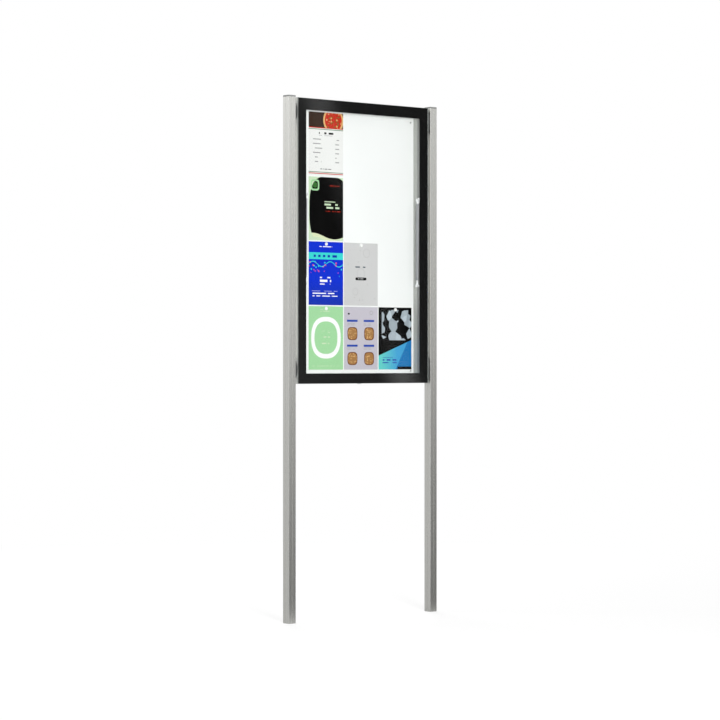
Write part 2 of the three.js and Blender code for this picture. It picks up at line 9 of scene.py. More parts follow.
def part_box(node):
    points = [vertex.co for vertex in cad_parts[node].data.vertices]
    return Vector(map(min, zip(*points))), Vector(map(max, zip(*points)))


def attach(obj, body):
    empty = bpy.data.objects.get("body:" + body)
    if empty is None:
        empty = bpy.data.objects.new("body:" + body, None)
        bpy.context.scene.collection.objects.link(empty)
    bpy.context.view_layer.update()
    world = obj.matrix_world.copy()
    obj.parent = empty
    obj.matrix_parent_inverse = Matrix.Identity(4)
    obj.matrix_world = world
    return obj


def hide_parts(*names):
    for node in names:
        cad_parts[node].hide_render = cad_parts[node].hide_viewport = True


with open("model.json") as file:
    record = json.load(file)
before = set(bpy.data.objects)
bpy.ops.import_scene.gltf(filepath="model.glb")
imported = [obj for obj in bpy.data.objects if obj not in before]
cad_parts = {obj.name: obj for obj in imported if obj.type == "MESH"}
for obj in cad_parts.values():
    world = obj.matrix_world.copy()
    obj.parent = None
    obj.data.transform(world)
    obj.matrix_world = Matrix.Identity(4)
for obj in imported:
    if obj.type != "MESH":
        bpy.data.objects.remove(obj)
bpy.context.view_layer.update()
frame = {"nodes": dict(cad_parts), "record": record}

print("frame loaded")

nodes = frame["nodes"]
bodyOf = {}
for bodyName, members in frame["record"]["behaviour"]["bodies"].items():
    for member in members:
        bodyOf[member] = bodyName
slotOf = {part["node"]: part["material_slot"] for part in frame["record"]["subparts"]}


# Camera, from the photograph's perspective

view = {
    "place": (-7.939, -9.274, 1.2167),
    "yaw": 40.56,  # degrees, from straight at the front towards the right
    "focalPixels": 2578.7,
    "imagePixels": 720,
    "sensor": 36.0,  # millimetres
}


def addCamera():
    data = bpy.data.cameras.new("camera")
    data.sensor_width = view["sensor"]
    data.lens = view["focalPixels"] * view["sensor"] / view["imagePixels"]
    camera = bpy.data.objects.new("camera", data)
    camera.location = view["place"]
    camera.rotation_euler = (math.pi / 2, 0, -math.radians(view["yaw"]))
    bpy.context.scene.collection.objects.link(camera)
    bpy.context.scene.camera = camera


addCamera()
print("camera set")


# Small tools for node trees

def newTree(name):
    material = bpy.data.materials.new(name)
    material.use_nodes = True
    tree = material.node_tree
    tree.nodes.clear()
    return material, tree


def addNode(tree, kind, inputs=None, **settings):
    node = tree.nodes.new(kind)
    for key, value in settings.items():
        setattr(node, key, value)
    for key, value in (inputs or {}).items():
        socket = node.inputs[key]
        if isinstance(value, bpy.types.NodeSocket):
            tree.links.new(value, socket)
        else:
            socket.default_value = value
    return node


def calc(tree, operation, *values, clamp=False):
    inputs = dict(enumerate(values))
    return addNode(tree, "ShaderNodeMath", inputs, operation=operation, use_clamp=clamp).outputs[0]


def mixColour(tree, factor, below, above):
    node = addNode(tree, "ShaderNodeMix", data_type="RGBA")
    for index, value in ((0, factor), (6, below), (7, above)):
        if isinstance(value, bpy.types.NodeSocket):
            tree.links.new(value, node.inputs[index])
        else:
            node.inputs[index].default_value = value
    return node.outputs[2]


screenCurve = {"linearTo": 0.04045, "linearSlope": 12.92, "offset": 0.055, "power": 2.4, "full": 255}


def rgb(red, green, blue):
    # a colour as it looks on screen, 0 to 255, for a shader
    curve = screenCurve
    linear = []
    for value in (red, green, blue):
        share = value / curve["full"]
        if share <= curve["linearTo"]:
            linear.append(share / curve["linearSlope"])
        else:
            linear.append(((share + curve["offset"]) / (1 + curve["offset"])) ** curve["power"])
    return (*linear, 1)


def objectSpace(tree, scale=(1, 1, 1)):
    place = addNode(tree, "ShaderNodeTexCoord").outputs["Object"]
    return addNode(tree, "ShaderNodeMapping", {"Vector": place, "Scale": scale}).outputs[0]


def noise(tree, vector, scale, detail=2.0, roughness=0.5):
    inputs = {"Vector": vector, "Scale": scale, "Detail": detail, "Roughness": roughness}
    return addNode(tree, "ShaderNodeTexNoise", inputs).outputs["Fac"]


def spread(tree, factor, low, high):
    # a 0 to 1 pattern is laid out between two values
    inputs = {"Value": factor, "To Min": low, "To Max": high}
    return addNode(tree, "ShaderNodeMapRange", inputs).outputs[0]


def bump(tree, height, strength, distance):
    inputs = {"Height": height, "Strength": strength, "Distance": distance}
    return addNode(tree, "ShaderNodeBump", inputs).outputs[0]


def finish(tree, inputs):
    shader = addNode(tree, "ShaderNodeBsdfPrincipled", inputs)
    addNode(tree, "ShaderNodeOutputMaterial", {"Surface": shader.outputs[0]})
    return shader


# Finishes

def insideShadeShare(tree):
    # 1 on the faces that look into the cabinet, where a darker matt tone is painted as shade, 0 elsewhere
    frameWide = insideShadeFacts["halfWidth"]
    middle = (insideShadeFacts["low"] + insideShadeFacts["high"]) / 2
    halfHeight = (insideShadeFacts["high"] - insideShadeFacts["low"]) / 2
    place = addNode(tree, "ShaderNodeTexCoord").outputs["Object"]
    parts = addNode(tree, "ShaderNodeSeparateXYZ", {0: place}).outputs
    inWidth = calc(tree, "LESS_THAN", calc(tree, "ABSOLUTE", parts["X"]), frameWide)
    upwards = calc(tree, "ABSOLUTE", calc(tree, "SUBTRACT", parts["Z"], middle))
    inHeight = calc(tree, "LESS_THAN", upwards, halfHeight)
    return calc(tree, "MULTIPLY", inWidth, inHeight)


def makeAluminium(name, along, facts, inside=None):
    # satin anodised extrusion: fine drawn lines run along the profile; given inside tones, the faces inside
    # the cabinet get a darker matt colour as painted shade
    material, tree = newTree(name)
    across = facts["linesAcross"]
    slow = facts["linesAlong"]
    scale = [across, across, across]
    scale["xyz".index(along)] = slow
    lines = noise(tree, objectSpace(tree, scale), 1.0, facts["detail"])
    cloud = noise(tree, objectSpace(tree), facts["cloudScale"], facts["detail"])
    colour = mixColour(tree, spread(tree, cloud, 0.0, 1.0), facts["dark"], facts["light"])
    colour = mixColour(tree, spread(tree, lines, 0.0, facts["lineTone"]), colour, facts["lineColour"])
    roughness = spread(tree, lines, *facts["roughness"])
    metallic = facts["metallic"]
    specular = facts["specular"]
    # painted shade: a darker matt colour on the inner faces stands in for the shade inside the cabinet
    if inside:
        share = insideShadeShare(tree)
        insideShadeTone = mixColour(tree, cloud, inside["dark"], inside["light"])
        colour = mixColour(tree, share, colour, insideShadeTone)
        metallic = spread(tree, share, metallic, 0.0)
        specular = spread(tree, share, specular, inside["specular"])
        roughness = calc(tree, "ADD", roughness, calc(tree, "MULTIPLY", share, insideShadeFacts["rougher"]))
    finish(tree, {
        "Base Color": colour,
        "Metallic": metallic,
        "Specular IOR Level": specular,
        "Roughness": roughness,
        "Normal": bump(tree, lines, facts["lineDepth"], facts["lineReach"]),
    })
    return material


aluminiumFacts = {
    "linesAcross": 900.0,
    "linesAlong": 1.5,
    "cloudScale": 3.0,
    "detail": 3.0,
    "dark": rgb(238, 238, 233),
    "light": rgb(244, 244, 240),
    "lineColour": rgb(220, 220, 215),
    "lineTone": 0.1,
    "lineDepth": 0.02,
    "lineReach": 0.0002,
    "roughness": (0.22, 0.32),
    "metallic": 1.0,
    "specular": 0.5,
}
frameFacts = {**aluminiumFacts, "light": rgb(248, 248, 245), "dark": rgb(243, 243, 240), "metallic": 0.3}
# painted shade: darker matt tones for the inner faces of the case, and darker still for the door's upright
# rails, standing in for the shade inside the cabinet
caseInsideShade = {"dark": rgb(175, 177, 173), "light": rgb(183, 185, 181), "specular": 0.25}
doorInsideShade = {"dark": rgb(139, 140, 139), "light": rgb(147, 148, 147), "specular": 0.05}
insideShadeFacts = {"halfWidth": 0.3584, "low": 1.1536, "high": 2.3844, "rougher": 0.35}


speckleDefaults = {
    "grainDetail": 4.0, "grainReach": 0.0003, "cloudDetail": 3.0, "cloudScale": 6.0,
    "metallic": 0.0, "specular": 0.5, "coat": 0.0, "coatRoughness": 0.03,
}


def makeSpeckled(name, ownFacts):
    # one base colour with a fine grain, for plastics, rubber, enamel and plated steel
    facts = {**speckleDefaults, **ownFacts}
    material, tree = newTree(name)
    grain = noise(tree, objectSpace(tree), facts["grainScale"], facts["grainDetail"])
    cloud = noise(tree, objectSpace(tree), facts["cloudScale"], facts["cloudDetail"])
    finish(tree, {
        "Base Color": mixColour(tree, cloud, facts["dark"], facts["light"]),
        "Metallic": facts["metallic"],
        "Roughness": spread(tree, grain, *facts["roughness"]),
        "Specular IOR Level": facts["specular"],
        "Coat Weight": facts["coat"],
        "Coat Roughness": facts["coatRoughness"],
        "Normal": bump(tree, grain, facts["grainDepth"], facts["grainReach"]),
    })
    return material


speckledFinishes = {
    "cap": {
        "dark": rgb(136, 137, 136), "light": rgb(146, 147, 146),
        "grainScale": 1800.0, "grainDepth": 0.25, "roughness": (0.5, 0.7),
    },
    "black_plastic": {
        "dark": rgb(66, 67, 66), "light": rgb(74, 75, 74),
        "grainScale": 1500.0, "grainDepth": 0.3, "roughness": (0.42, 0.6),
    },
    "steel": {
        "dark": rgb(196, 197, 198), "light": rgb(214, 214, 214), "metallic": 1.0,
        "grainScale": 700.0, "cloudScale": 60.0, "grainDepth": 0.06, "roughness": (0.25, 0.4),
    },
    "border": {
        "dark": rgb(20, 20, 20), "light": rgb(23, 23, 23), "specular": 0.5,
        "grainScale": 900.0, "grainDepth": 0.002, "roughness": (0.02, 0.04),
    },
    "rubber": {
        "dark": rgb(24, 24, 25), "light": rgb(34, 34, 35),
        "grainScale": 1200.0, "grainDepth": 0.4, "roughness": (0.7, 0.85),
    },
    "panel": {
        "dark": rgb(243, 245, 244), "light": rgb(246, 248, 247), "cloudScale": 2.0,
        "grainScale": 500.0, "grainDepth": 0.02, "roughness": (0.28, 0.34), "coat": 0.3,
    },
    "cover": {
        "dark": rgb(198, 199, 198), "light": rgb(210, 211, 210), "metallic": 1.0,
        "grainScale": 900.0, "grainDepth": 0.08, "roughness": (0.42, 0.55),
    },
    "chrome": {
        "dark": rgb(244, 246, 248), "light": rgb(250, 251, 252), "metallic": 0.3,
        "grainScale": 400.0, "grainDepth": 0.01, "roughness": (0.2, 0.28),
    },
    "tube": {
        "dark": rgb(148, 149, 152), "light": rgb(158, 159, 162), "metallic": 0.2,
        "grainScale": 900.0, "grainDepth": 0.03, "roughness": (0.22, 0.3), "coat": 0.5,
    },
    "magnet": {
        "dark": rgb(238, 239, 238), "light": rgb(244, 244, 243),
        "grainScale": 1500.0, "grainDepth": 0.05, "roughness": (0.25, 0.35),
    },
}


def makeGlass(name, facts):
    # clear pane: straight see-through with a mirror that grows towards grazing angles, alike on both faces
    material, tree = newTree(name)
    smear = noise(tree, objectSpace(tree), facts["smearScale"], facts["smearDetail"])
    clear = addNode(tree, "ShaderNodeBsdfTransparent", {"Color": facts["tint"]})
    gloss = addNode(tree, "ShaderNodeBsdfGlossy", {"Roughness": spread(tree, smear, *facts["roughness"])})
    facing = addNode(tree, "ShaderNodeLayerWeight", {"Blend": facts["facingBlend"]}).outputs["Facing"]
    mirror = spread(tree, calc(tree, "POWER", facing, facts["falloff"]), facts["mirror"], 1.0)
    mix = addNode(tree, "ShaderNodeMixShader", {0: mirror, 1: clear.outputs[0], 2: gloss.outputs[0]})
    addNode(tree, "ShaderNodeOutputMaterial", {"Surface": mix.outputs[0]})
    return material


glassFacts = {
    "tint": (0.993, 0.996, 0.994, 1), "mirror": 0.008, "falloff": 5.0, "facingBlend": 0.5,
    "smearScale": 9.0, "smearDetail": 3.0, "roughness": (0.0, 0.02),
}

glassEdgeFacts = {
    "dark": rgb(228, 236, 232), "light": rgb(240, 244, 242), "cloudScale": 40.0, "metallic": 0.6,
    "grainScale": 900.0, "grainDepth": 0.1, "roughness": (0.25, 0.4),
}

finishes = {name: makeSpeckled(name, facts) for name, facts in speckledFinishes.items()}
finishes["anodised"] = makeAluminium("anodised_upright", "z", aluminiumFacts)
finishes["anodised_across"] = makeAluminium("anodised_across", "x", aluminiumFacts)
# the case and door rails carry painted shade on their faces inside the cabinet
finishes["case_upright"] = makeAluminium("case_upright", "z", frameFacts, caseInsideShade)
finishes["case_across"] = makeAluminium("case_across", "x", frameFacts, caseInsideShade)
finishes["door_upright"] = makeAluminium("door_upright", "z", frameFacts, doorInsideShade)
finishes["door_across"] = makeAluminium("door_across", "x", frameFacts, caseInsideShade)
finishes["glass"] = makeGlass("glass", glassFacts)
finishes["glassEdge"] = makeSpeckled("glass_edge", glassEdgeFacts)


def setFinish(piece, material):
    piece.data.materials.clear()
    piece.data.materials.append(material)


for nodeName, nodeObject in nodes.items():
    slot = slotOf[nodeName]
    if "_rail_" in nodeName:
        across = nodeName.endswith("top") or nodeName.endswith("bottom")
        slot = nodeName.split("_")[0] + ("_across" if across else "_upright")
    if slot == "anodised" and nodeName.startswith("hinge"):
        slot = "anodised_across"
    if slot != "paper":
        setFinish(nodeObject, finishes[slot])

print("finishes made")


# Printed sheets, with places on them in millimetres

perMetre = 1000.0
sheetWide = 210
barFacts = {"wordShare": 0.9, "gapChance": 0.28}
paperFacts = {
    "fibreScale": 1400.0, "fibreDetail": 3.0, "fibreDepth": 0.05, "fibreReach": 0.0001,
    "roughness": (0.42, 0.56), "specular": 0.04,
}


def sheetPlace(tree, nodeName):
    # millimetres from the sheet's lower left corner
    low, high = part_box(nodeName)
    place = addNode(tree, "ShaderNodeTexCoord").outputs["Object"]
    parts = addNode(tree, "ShaderNodeSeparateXYZ", {0: place}).outputs
    across = calc(tree, "MULTIPLY", calc(tree, "SUBTRACT", parts["X"], low[0]), perMetre)
    upward = calc(tree, "MULTIPLY", calc(tree, "SUBTRACT", parts["Z"], low[2]), perMetre)
    return across, upward


class Print:
    # colours are laid one over another on a sheet, each through a shape

    def __init__(self, nodeName, ground):
        self.node = nodes[nodeName]
        self.material, self.tree = newTree("print_" + nodeName)
        self.across, self.upward = sheetPlace(self.tree, nodeName)
        self.colour = mixColour(self.tree, 0.0, ground, ground)

    def calc(self, operation, *values):
        return calc(self.tree, operation, *values)

    def both(self, one, other):
        return self.calc("MULTIPLY", one, other)

    def either(self, one, other):
        return self.calc("MAXIMUM", one, other)

    def without(self, one, other):
        return self.both(one, self.calc("SUBTRACT", 1.0, other))

    def box(self, left, bottom, right, top):
        sideways = self.calc("ABSOLUTE", self.calc("SUBTRACT", self.across, (left + right) / 2))
        upwards = self.calc("ABSOLUTE", self.calc("SUBTRACT", self.upward, (bottom + top) / 2))
        inWidth = self.calc("LESS_THAN", sideways, (right - left) / 2)
        inHeight = self.calc("LESS_THAN", upwards, (top - bottom) / 2)
        return self.both(inWidth, inHeight)

    def distance(self, across, upward, power=2.0, squash=1.0):
        sideways = self.calc("ABSOLUTE", self.calc("SUBTRACT", self.across, across))
        upwards = self.calc("ABSOLUTE", self.calc("SUBTRACT", self.upward, upward))
        upwards = self.calc("MULTIPLY", upwards, squash)
        total = self.calc("ADD", self.calc("POWER", sideways, power), self.calc("POWER", upwards, power))
        return self.calc("POWER", total, 1 / power)

    def disc(self, across, upward, radius, power=2.0, squash=1.0):
        return self.calc("LESS_THAN", self.distance(across, upward, power, squash), radius)

    def ring(self, across, upward, radius, width, power=2.0, squash=1.0):
        away = self.calc("SUBTRACT", self.distance(across, upward, power, squash), radius)
        return self.calc("LESS_THAN", self.calc("ABSOLUTE", away), width / 2)

    def above(self, height, slope=0.0):
        line = self.calc("ADD", self.calc("MULTIPLY", self.across, slope), height)
        return self.calc("GREATER_THAN", self.upward, line)

    def wave(self, height, swing, length, shift=0.0):
        angle = self.calc("MULTIPLY", self.calc("ADD", self.across, shift), math.tau / length)
        line = self.calc("ADD", self.calc("MULTIPLY", self.calc("SINE", angle), swing), height)
        return self.calc("GREATER_THAN", self.upward, line)

    def speckle(self, scale, threshold, seed=0.0):
        place = addNode(self.tree, "ShaderNodeCombineXYZ", {0: self.across, 1: self.upward, 2: seed})
        inputs = {"Vector": place.outputs[0], "Scale": scale}
        spots = addNode(self.tree, "ShaderNodeTexVoronoi", inputs).outputs["Distance"]
        return self.calc("LESS_THAN", spots, threshold)

    def greek(self, left, bottom, right, top, pitch, weight=0.4, ragged=0.5):
        # rows of small bars in place of words
        rows = self.calc("DIVIDE", self.upward, pitch)
        rowNumber = self.calc("FLOOR", rows)
        inRow = self.calc("LESS_THAN", self.calc("FRACT", rows), weight)
        word = self.calc("FLOOR", self.calc("DIVIDE", self.across, pitch * barFacts["wordShare"]))
        place = addNode(self.tree, "ShaderNodeCombineXYZ", {0: word, 1: rowNumber})
        chance = addNode(self.tree, "ShaderNodeTexWhiteNoise", {"Vector": place.outputs[0]}).outputs[0]
        filled = self.calc("GREATER_THAN", chance, barFacts["gapChance"])
        lengthChance = addNode(self.tree, "ShaderNodeTexWhiteNoise", {"W": rowNumber}, noise_dimensions="1D")
        reach = spread(self.tree, lengthChance.outputs[0], right - (right - left) * ragged, right)
        inReach = self.calc("LESS_THAN", self.across, reach)
        bars = self.both(self.both(inRow, filled), inReach)
        return self.both(bars, self.box(left, bottom, right, top))

    def lay(self, shape, colour):
        self.colour = mixColour(self.tree, shape, self.colour, colour)

    def fade(self, shape, along, start, end, first, last):
        inputs = {"Value": along, "From Min": start, "From Max": end}
        share = addNode(self.tree, "ShaderNodeMapRange", inputs).outputs[0]
        self.lay(shape, mixColour(self.tree, share, first, last))

    def barRows(self, rows):
        for place, colour in rows:
            self.lay(self.greek(*place), ink[colour])

    def done(self):
        facts = paperFacts
        fibre = noise(self.tree, objectSpace(self.tree), facts["fibreScale"], facts["fibreDetail"])
        finish(self.tree, {
            "Base Color": self.colour,
            "Roughness": spread(self.tree, fibre, *facts["roughness"]),
            "Specular IOR Level": facts["specular"],
            "Normal": bump(self.tree, fibre, facts["fibreDepth"], facts["fibreReach"]),
        })
        setFinish(self.node, self.material)


ink = {
    "white": rgb(246, 247, 246), "paper": rgb(234, 235, 233), "black": rgb(5, 5, 5),
    "grey": rgb(150, 150, 150), "darkWood": rgb(58, 42, 34), "crust": rgb(222, 178, 118),
    "tomato": rgb(196, 52, 36), "basil": rgb(58, 110, 52), "paleGreen": rgb(200, 221, 188),
    "softGreen": rgb(161, 213, 160), "blue": rgb(18, 50, 204), "deepBlue": rgb(26, 52, 168),
    "turquoise": rgb(60, 212, 206), "pink": rgb(226, 84, 128), "silver": rgb(203, 203, 203),
    "faintGrey": rgb(188, 188, 188), "lilac": rgb(194, 190, 200), "headerBlue": rgb(46, 74, 168),
    "bread": rgb(164, 120, 74), "sauce": rgb(112, 66, 40), "ice": rgb(186, 198, 206),
    "slate": rgb(84, 96, 106), "leaf": rgb(216, 226, 186),
    "aqua": rgb(100, 204, 198), "lagoon": rgb(66, 160, 210), "harbour": rgb(36, 118, 180),
}


menuPrint = {
    "photo": (0, 226, sheetWide, 297),
    "plate": (150, 262),
    "crustRadius": 62,
    "sauceRadius": 52,
    "toppingRadius": 50,
    "herbs": (0.075, 0.3),
    "cheese": (0.06, 0.26, 7.0),
    "bands": ((222, 226, "tomato"), (216, 219, "basil"), (8, 12, "tomato"), (15, 18, "basil")),
    "bars": (
        ((62, 188, 152, 204, 15.0, 0.6, 0.1), "black"),
        ((26, 48, 84, 176, 21.0, 0.2), "grey"),
        ((162, 48, 186, 176, 21.0, 0.2, 0.1), "grey"),
        ((70, 28, 140, 34, 6.0, 0.5, 0.1), "black"),
    ),
}


def printMenu(nodeName):
    facts = menuPrint
    page = Print(nodeName, ink["paper"])
    top = page.box(*facts["photo"])
    page.lay(top, ink["darkWood"])
    page.lay(page.both(top, page.disc(*facts["plate"], facts["crustRadius"])), ink["crust"])
    page.lay(page.both(top, page.disc(*facts["plate"], facts["sauceRadius"])), ink["tomato"])
    covered = page.both(top, page.disc(*facts["plate"], facts["toppingRadius"]))
    page.lay(page.both(covered, page.speckle(*facts["herbs"])), ink["basil"])
    page.lay(page.both(covered, page.speckle(*facts["cheese"])), ink["crust"])
    for low, high, colour in facts["bands"]:
        page.lay(page.box(0, low, sheetWide, high), ink[colour])
    page.barRows(facts["bars"])
    page.done()


darkPrint = {
    "hill": (20, 14, 260, 40),
    "leaf": (6, 10, 190, 10),
    "field": (126, 140, 122, 3.0, 0.76),
    "badgeCorner": (0, 226, 80, 297),
    "badge": (38, 258, 22, 8, 4.0),
    "badgeDot": (38, 258, 12, 4.0),
    "bars": (
        ((96, 150, 196, 184, 15.0, 0.55, 0.3), "paleGreen"),
        ((104, 134, 196, 142, 8.0, 0.35, 0.2), "tomato"),
        ((130, 256, 190, 264, 8.0, 0.4, 0.2), "tomato"),
    ),
}


def printDark(nodeName):
    facts = darkPrint
    page = Print(nodeName, ink["black"])
    hill = page.calc("SUBTRACT", 1.0, page.wave(*facts["hill"]))
    page.lay(hill, ink["paleGreen"])
    page.lay(page.without(hill, page.calc("SUBTRACT", 1.0, page.wave(*facts["leaf"]))), ink["leaf"])
    page.lay(page.calc("SUBTRACT", 1.0, page.disc(*facts["field"])), ink["paleGreen"])
    page.lay(page.both(page.box(*facts["badgeCorner"]), page.ring(*facts["badge"])), ink["softGreen"])
    page.lay(page.disc(*facts["badgeDot"]), ink["basil"])
    page.barRows(facts["bars"])
    page.done()


partyPrint = {
    "dusk": 120,
    "band": (0, 214, sheetWide, 246),
    "bandBars": (((30, 222, 180, 238, 16.0, 0.7, 0.1), "deepBlue"),),
    "garlandLow": (190, 12, 105),
    "garlandHigh": (194, 12, 105),
    "garlandArea": (0, 160, sheetWide, 212),
    "confetti": (0.05, 0.22),
    "confettiArea": (0, 150, sheetWide, 212),
    "streamers": (0.045, 0.18, 5.0),
    "streamerArea": (0, 130, sheetWide, 205),
    "bars": (
        ((68, 96, 138, 132, 18.0, 0.6, 0.2), "white"),
        ((20, 40, 190, 66, 13.0, 0.4, 0.2), "white"),
        ((60, 272, 150, 280, 8.0, 0.5, 0.1), "white"),
    ),
}


def printParty(nodeName):
    facts = partyPrint
    page = Print(nodeName, ink["blue"])
    lower = page.box(0, 0, sheetWide, facts["dusk"])
    page.fade(lower, page.upward, 0, facts["dusk"], ink["deepBlue"], ink["blue"])
    page.lay(page.box(*facts["band"]), ink["turquoise"])
    page.barRows(facts["bandBars"])
    garland = page.without(page.wave(*facts["garlandLow"]), page.wave(*facts["garlandHigh"]))
    page.lay(page.both(garland, page.box(*facts["garlandArea"])), ink["turquoise"])
    confetti = page.both(page.speckle(*facts["confetti"]), page.box(*facts["confettiArea"]))
    page.lay(confetti, ink["pink"])
    streamers = page.both(page.speckle(*facts["streamers"]), page.box(*facts["streamerArea"]))
    page.lay(streamers, ink["turquoise"])
    page.barRows(facts["bars"])
    page.done()


quietPrint = {
    "dots": (0.03, 0.12),
    "dotArea": (8, 8, 202, 289),
    "rings": ((140, 250, 20), (105, 152, 24), (70, 66, 16)),
    "ringWidth": 3,
    "bars": (((70, 180, 140, 190, 10.0, 0.6, 0.1), "slate"),),
    "pill": (105, 127, 34, 6.0, 5.0),
    "pillBars": (((86, 124, 124, 131, 7.0, 0.4, 0.1), "silver"),),
}


def printQuiet(nodeName):
    facts = quietPrint
    page = Print(nodeName, ink["silver"])
    page.lay(page.both(page.speckle(*facts["dots"]), page.box(*facts["dotArea"])), ink["faintGrey"])
    for circle in facts["rings"]:
        page.lay(page.ring(*circle, facts["ringWidth"]), ink["faintGrey"])
    page.barRows(facts["bars"])
    page.lay(page.disc(*facts["pill"]), ink["black"])
    page.barRows(facts["pillBars"])
    page.done()


ringPrint = {
    "ring": (105, 150, 80, 20, 2.4, 0.92),
    "bars": (
        ((80, 172, 130, 182, 10.0, 0.6, 0.1), "paleGreen"),
        ((80, 146, 130, 156, 10.0, 0.6, 0.1), "paleGreen"),
        ((80, 118, 130, 128, 10.0, 0.6, 0.1), "paleGreen"),
        ((70, 268, 140, 284, 8.0, 0.4, 0.3), "paleGreen"),
        ((20, 16, 190, 24, 8.0, 0.3, 0.1), "paleGreen"),
    ),
}


def printRing(nodeName):
    page = Print(nodeName, ink["softGreen"])
    page.lay(page.ring(*ringPrint["ring"]), ink["white"])
    page.barRows(ringPrint["bars"])
    page.done()


tilesPrint = {
    "bars": (((16, 258, 52, 272, 13.0, 0.6, 0.1), "black"),),
    "badge": (170, 270, 9, 2),
    "lefts": (18, 122),
    "bottoms": (122, 4),
    "tileWidth": 66,
    "header": (104, 114),
    "words": (88, 100),
    "wordPitch": 6.0,
    "wordWeight": 0.3,
    "centre": (34, 48),
    "sauce": (31, 3.4),
    "bread": (27, 3.0),
    "topping": (26, 3.0),
    "grains": (0.11, 0.32),
}


def printTiles(nodeName):
    facts = tilesPrint
    page = Print(nodeName, ink["lilac"])
    page.barRows(facts["bars"])
    page.lay(page.ring(*facts["badge"]), ink["grey"])
    for left in facts["lefts"]:
        for bottom in facts["bottoms"]:
            right = left + facts["tileWidth"]
            low, high = (bottom + height for height in facts["header"])
            page.lay(page.box(left, low, right, high), ink["headerBlue"])
            low, high = (bottom + height for height in facts["words"])
            words = page.greek(left, low, right, high, facts["wordPitch"], facts["wordWeight"])
            page.lay(words, ink["grey"])
            centre = (left + facts["centre"][0], bottom + facts["centre"][1])
            page.lay(page.disc(*centre, *facts["sauce"]), ink["sauce"])
            page.lay(page.disc(*centre, *facts["bread"]), ink["bread"])
            grains = page.speckle(*facts["grains"], left + bottom)
            page.lay(page.both(page.disc(*centre, *facts["topping"]), grains), ink["crust"])
    page.done()


nightPrint = {
    "cellSeed": 3.0,
    "cellScale": 0.03,
    "cellChance": 0.55,
    "cellArea": (20, 140, sheetWide, 285),
    "ground": (66, 0.36),
    "groundEdge": (80, 0.36),
    "fade": (20, 120),
    "harbour": (-190, 1.75),
    "bars": (((14, 30, 120, 58, 14.0, 0.5, 0.3), "headerBlue"),),
    "foot": (120, 0, sheetWide, 14),
}


def printNight(nodeName):
    facts = nightPrint
    page = Print(nodeName, ink["black"])
    place = addNode(
        page.tree, "ShaderNodeCombineXYZ", {0: page.across, 1: page.upward, 2: facts["cellSeed"]})
    inputs = {"Vector": place.outputs[0], "Scale": facts["cellScale"]}
    cells = addNode(page.tree, "ShaderNodeTexVoronoi", inputs).outputs["Color"]
    tone = addNode(page.tree, "ShaderNodeSeparateColor", {0: cells}).outputs[0]
    chosen = page.calc("GREATER_THAN", tone, facts["cellChance"])
    crystal = page.both(chosen, page.box(*facts["cellArea"]))
    page.lay(crystal, mixColour(page.tree, tone, ink["slate"], ink["ice"]))
    sky = page.above(*facts["ground"])
    ground = page.calc("SUBTRACT", 1.0, sky)
    page.fade(ground, page.across, *facts["fade"], ink["aqua"], ink["lagoon"])
    page.lay(page.without(ground, page.above(*facts["harbour"])), ink["harbour"])
    page.lay(page.without(sky, page.above(*facts["groundEdge"])), ink["black"])
    page.barRows(facts["bars"])
    page.lay(page.box(*facts["foot"]), ink["black"])
    page.done()


printMenu("notice_sheet_row1_column1")
printDark("notice_sheet_row2_column1")
printParty("notice_sheet_row3_column1")
printQuiet("notice_sheet_row3_column2")
printRing("notice_sheet_row4_column1")
printTiles("notice_sheet_row4_column2")
printNight("notice_sheet_row4_column3")
print("sheets printed")


# Small tools for shapes

meshCare = {
    "weld": 0.000001,
    "flatAngle": 0.5,  # degrees, as the next two
    "bevelAngle": 30,
    "smoothAngle": 35,
    "normalWeight": 100,
    "seedSize": 0.001,
}


def applied(piece, kind, **settings):
    modifier = piece.modifiers.new(kind.lower(), kind)
    for key, value in settings.items():
        setattr(modifier, key, value)
    bpy.context.view_layer.objects.active = piece
    bpy.ops.object.modifier_apply(modifier=modifier.name)


def alone(piece):
    bpy.ops.object.select_all(action="DESELECT")
    piece.select_set(True)
    bpy.context.view_layer.objects.active = piece


def smoothed(piece):
    # flat faces stay flat and only their soft edges and round parts are shaded round
    alone(piece)
    bpy.ops.object.shade_smooth_by_angle(angle=math.radians(meshCare["smoothAngle"]))
    applied(piece, "WEIGHTED_NORMAL", weight=meshCare["normalWeight"], keep_sharp=True)


def rounded(piece, width, segments):
    applied(
        piece, "BEVEL", width=width, segments=segments, limit_method="ANGLE",
        angle_limit=math.radians(meshCare["bevelAngle"]), use_clamp_overlap=True,
    )
    smoothed(piece)


def fineCopy(nodeName, width, segments):
    # the solid's own shape with its edges softened as the real part's are
    source = nodes[nodeName]
    piece = source.copy()
    piece.data = source.data.copy()
    piece.name = nodeName + "_fine"
    bpy.context.scene.collection.objects.link(piece)
    alone(piece)
    bpy.ops.object.mode_set(mode="EDIT")
    bpy.ops.mesh.select_all(action="SELECT")
    bpy.ops.mesh.remove_doubles(threshold=meshCare["weld"])
    bpy.ops.mesh.dissolve_limited(angle_limit=math.radians(meshCare["flatAngle"]))
    bpy.ops.object.mode_set(mode="OBJECT")
    rounded(piece, width, segments)
    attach(piece, bodyOf[nodeName])
    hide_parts(nodeName)


